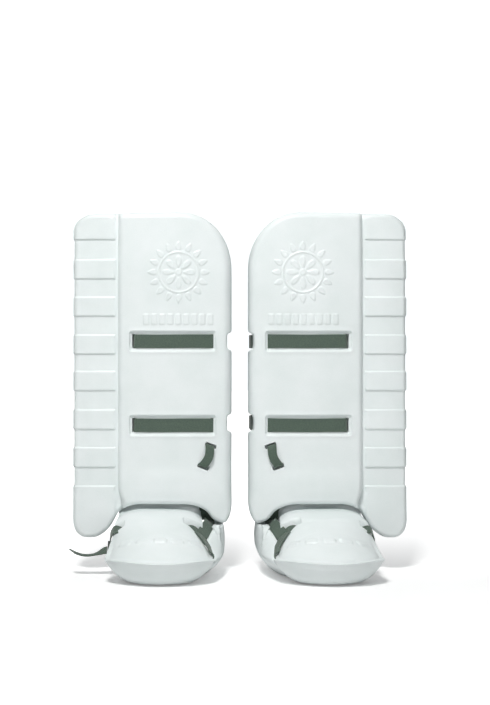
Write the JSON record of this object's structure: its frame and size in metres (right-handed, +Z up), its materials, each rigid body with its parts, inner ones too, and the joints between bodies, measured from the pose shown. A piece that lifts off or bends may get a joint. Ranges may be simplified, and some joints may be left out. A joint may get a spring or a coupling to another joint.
{
  "type": "goalkeeper leg guards and kickers",
  "caption": "Pair of moulded-foam goalkeeper leg guards standing on kickers, with webbing straps, side-release buckles and hinged calf wings.",
  "frame": {"origin": "middle of the pair between the two legs, under the centre of the overall box, on the floor at the kicker soles", "axes": "+Z up, -Y the way the wearer faces, +X towards the wearer's left leg"},
  "size_m": [0.69, 0.3726, 0.7381],
  "materials": {
    "shell_foam": "satin",
    "core_foam": "matte",
    "cushion_foam": "matte",
    "webbing": "woven",
    "buckle_plastic": "satin"
  },
  "bodies": {
    "right_kicker": {"right_kicker_shell": "shell_foam", "right_kicker_liner": "cushion_foam", "right_instep_strap": "webbing", "right_ladder_lock": "buckle_plastic", "right_ankle_strap_lower": "webbing", "right_sole_strap": "webbing", "right_heel_rivets": "buckle_plastic"},
    "right_guard": {"right_guard_shell": "shell_foam", "right_guard_core": "core_foam", "right_knee_cushion": "cushion_foam", "right_shin_cushion": "cushion_foam", "right_upper_strap": "webbing", "right_lower_strap": "webbing", "right_upper_buckle_socket": "buckle_plastic", "right_lower_buckle_socket": "buckle_plastic", "right_ankle_strap": "webbing"},
    "right_upper_buckle_plug": {"right_upper_buckle_plug": "buckle_plastic"},
    "right_lower_buckle_plug": {"right_lower_buckle_plug": "buckle_plastic"},
    "right_upper_slider": {"right_upper_slider": "buckle_plastic"},
    "right_lower_slider": {"right_lower_slider": "buckle_plastic"},
    "right_calf_wing_inner": {"right_calf_wing_inner": "core_foam"},
    "right_calf_wing_outer": {"right_calf_wing_outer": "core_foam"},
    "right_heel_strap": {"right_heel_strap": "webbing"},
    "right_strap_tail": {"right_strap_tail": "webbing"},
    "left_kicker": {"left_kicker_shell": "shell_foam", "left_kicker_liner": "cushion_foam", "left_instep_strap": "webbing", "left_ladder_lock": "buckle_plastic", "left_ankle_strap_lower": "webbing", "left_sole_strap": "webbing", "left_heel_rivets": "buckle_plastic"},
    "left_guard": {"left_guard_shell": "shell_foam", "left_guard_core": "core_foam", "left_knee_cushion": "cushion_foam", "left_shin_cushion": "cushion_foam", "left_upper_strap": "webbing", "left_lower_strap": "webbing", "left_upper_buckle_socket": "buckle_plastic", "left_lower_buckle_socket": "buckle_plastic", "left_ankle_strap": "webbing"},
    "left_upper_buckle_plug": {"left_upper_buckle_plug": "buckle_plastic"},
    "left_lower_buckle_plug": {"left_lower_buckle_plug": "buckle_plastic"},
    "left_upper_slider": {"left_upper_slider": "buckle_plastic"},
    "left_lower_slider": {"left_lower_slider": "buckle_plastic"},
    "left_calf_wing_inner": {"left_calf_wing_inner": "core_foam"},
    "left_calf_wing_outer": {"left_calf_wing_outer": "core_foam"},
    "left_heel_strap": {"left_heel_strap": "webbing"},
    "left_strap_tail": {"left_strap_tail": "webbing"}
  },
  "joints": [
    {"name": "right_guard_rock", "type": "hinge", "parent": "right_kicker", "child": "right_guard", "pos_m": [-0.165, 0.00775, 0.141], "axis": [1, 0, 0], "range_deg": [-6, 20], "stiffness_Nm_per_rad": 25},
    {"name": "right_upper_buckle_release", "type": "slide", "parent": "right_guard", "child": "right_upper_buckle_plug", "axis": [-1, 0, 0], "range_m": [0, 0.03]},
    {"name": "right_upper_slider_travel", "type": "slide", "parent": "right_guard", "child": "right_upper_slider", "axis": [-1, 0, 0], "range_m": [0, 0.016]},
    {"name": "right_lower_buckle_release", "type": "slide", "parent": "right_guard", "child": "right_lower_buckle_plug", "axis": [-1, 0, 0], "range_m": [0, 0.03]},
    {"name": "right_lower_slider_travel", "type": "slide", "parent": "right_guard", "child": "right_lower_slider", "axis": [-1, 0, 0], "range_m": [0, 0.016]},
    {"name": "right_calf_wing_inner_fold", "type": "hinge", "parent": "right_guard", "child": "right_calf_wing_inner", "pos_m": [-0.082, 0.08875, 0.33], "axis": [0, 0, 1], "range_deg": [-10, 35]},
    {"name": "right_calf_wing_outer_fold", "type": "hinge", "parent": "right_guard", "child": "right_calf_wing_outer", "pos_m": [-0.228, 0.08875, 0.33], "axis": [0, 0, -1], "range_deg": [-8, 35]},
    {"name": "right_heel_strap_lift", "type": "hinge", "parent": "right_kicker", "child": "right_heel_strap", "pos_m": [-0.165, 0.06175, 0.06], "axis": [1, 0, 0], "range_deg": [-25, 40]},
    {"name": "right_strap_tail_bend", "type": "hinge", "parent": "right_kicker", "child": "right_strap_tail", "pos_m": [-0.2735, -0.03445, 0.04926], "axis": [0, 0.8988, 0.4384], "range_deg": [-20, 40]},
    {"name": "pair_gap", "type": "slide", "parent": "right_kicker", "child": "left_kicker", "axis": [1, 0, 0], "range_m": [0, 0.25]},
    {"name": "left_guard_rock", "type": "hinge", "parent": "left_kicker", "child": "left_guard", "pos_m": [0.165, 0.00775, 0.141], "axis": [1, 0, 0], "range_deg": [-6, 20], "stiffness_Nm_per_rad": 25},
    {"name": "left_upper_buckle_release", "type": "slide", "parent": "left_guard", "child": "left_upper_buckle_plug", "axis": [1, 0, 0], "range_m": [0, 0.03]},
    {"name": "left_upper_slider_travel", "type": "slide", "parent": "left_guard", "child": "left_upper_slider", "axis": [1, 0, 0], "range_m": [0, 0.016]},
    {"name": "left_lower_buckle_release", "type": "slide", "parent": "left_guard", "child": "left_lower_buckle_plug", "axis": [1, 0, 0], "range_m": [0, 0.03]},
    {"name": "left_lower_slider_travel", "type": "slide", "parent": "left_guard", "child": "left_lower_slider", "axis": [1, 0, 0], "range_m": [0, 0.016]},
    {"name": "left_calf_wing_inner_fold", "type": "hinge", "parent": "left_guard", "child": "left_calf_wing_inner", "pos_m": [0.082, 0.08875, 0.33], "axis": [0, 0, -1], "range_deg": [-10, 35]},
    {"name": "left_calf_wing_outer_fold", "type": "hinge", "parent": "left_guard", "child": "left_calf_wing_outer", "pos_m": [0.228, 0.08875, 0.33], "axis": [0, 0, 1], "range_deg": [-8, 35]},
    {"name": "left_heel_strap_lift", "type": "hinge", "parent": "left_kicker", "child": "left_heel_strap", "pos_m": [0.165, 0.06175, 0.06], "axis": [1, 0, 0], "range_deg": [-25, 40]},
    {"name": "left_strap_tail_bend", "type": "hinge", "parent": "left_kicker", "child": "left_strap_tail", "pos_m": [0.2735, -0.03445, 0.04926], "axis": [0, -0.8988, -0.4384], "range_deg": [0, 90]}
  ]
}
